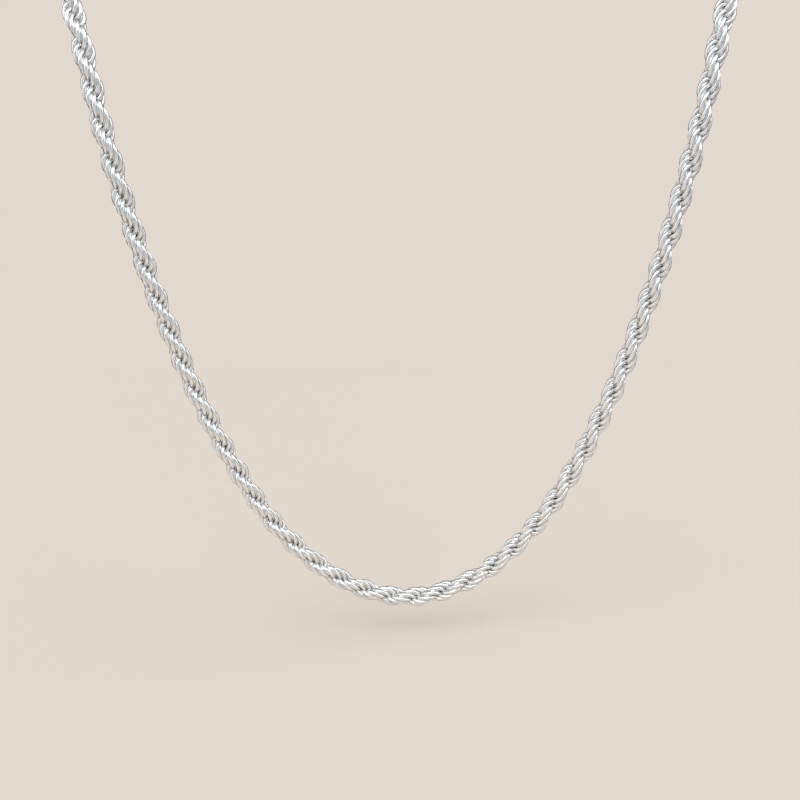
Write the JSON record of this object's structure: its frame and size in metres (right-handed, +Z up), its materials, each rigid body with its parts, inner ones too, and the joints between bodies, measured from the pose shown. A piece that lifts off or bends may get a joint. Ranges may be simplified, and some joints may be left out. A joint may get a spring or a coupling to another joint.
{
  "type": "rope chain necklace",
  "caption": "Polished silver rope chain necklace, a closed loop hanging as worn, with a plain barrel clasp at the nape.",
  "frame": {"origin": "the point of the clasp's inner side that bears on the nape", "axes": "+Z up, the front of the loop faces -Y, +X to the right as seen from the front"},
  "size_m": [0.1108, 0.1058, 0.147],
  "materials": {
    "silver_links": "polished",
    "silver_clasp": "polished"
  },
  "bodies": {
    "root": {"rope_chain": "silver_links", "clasp": "silver_clasp"}
  },
  "joints": []
}
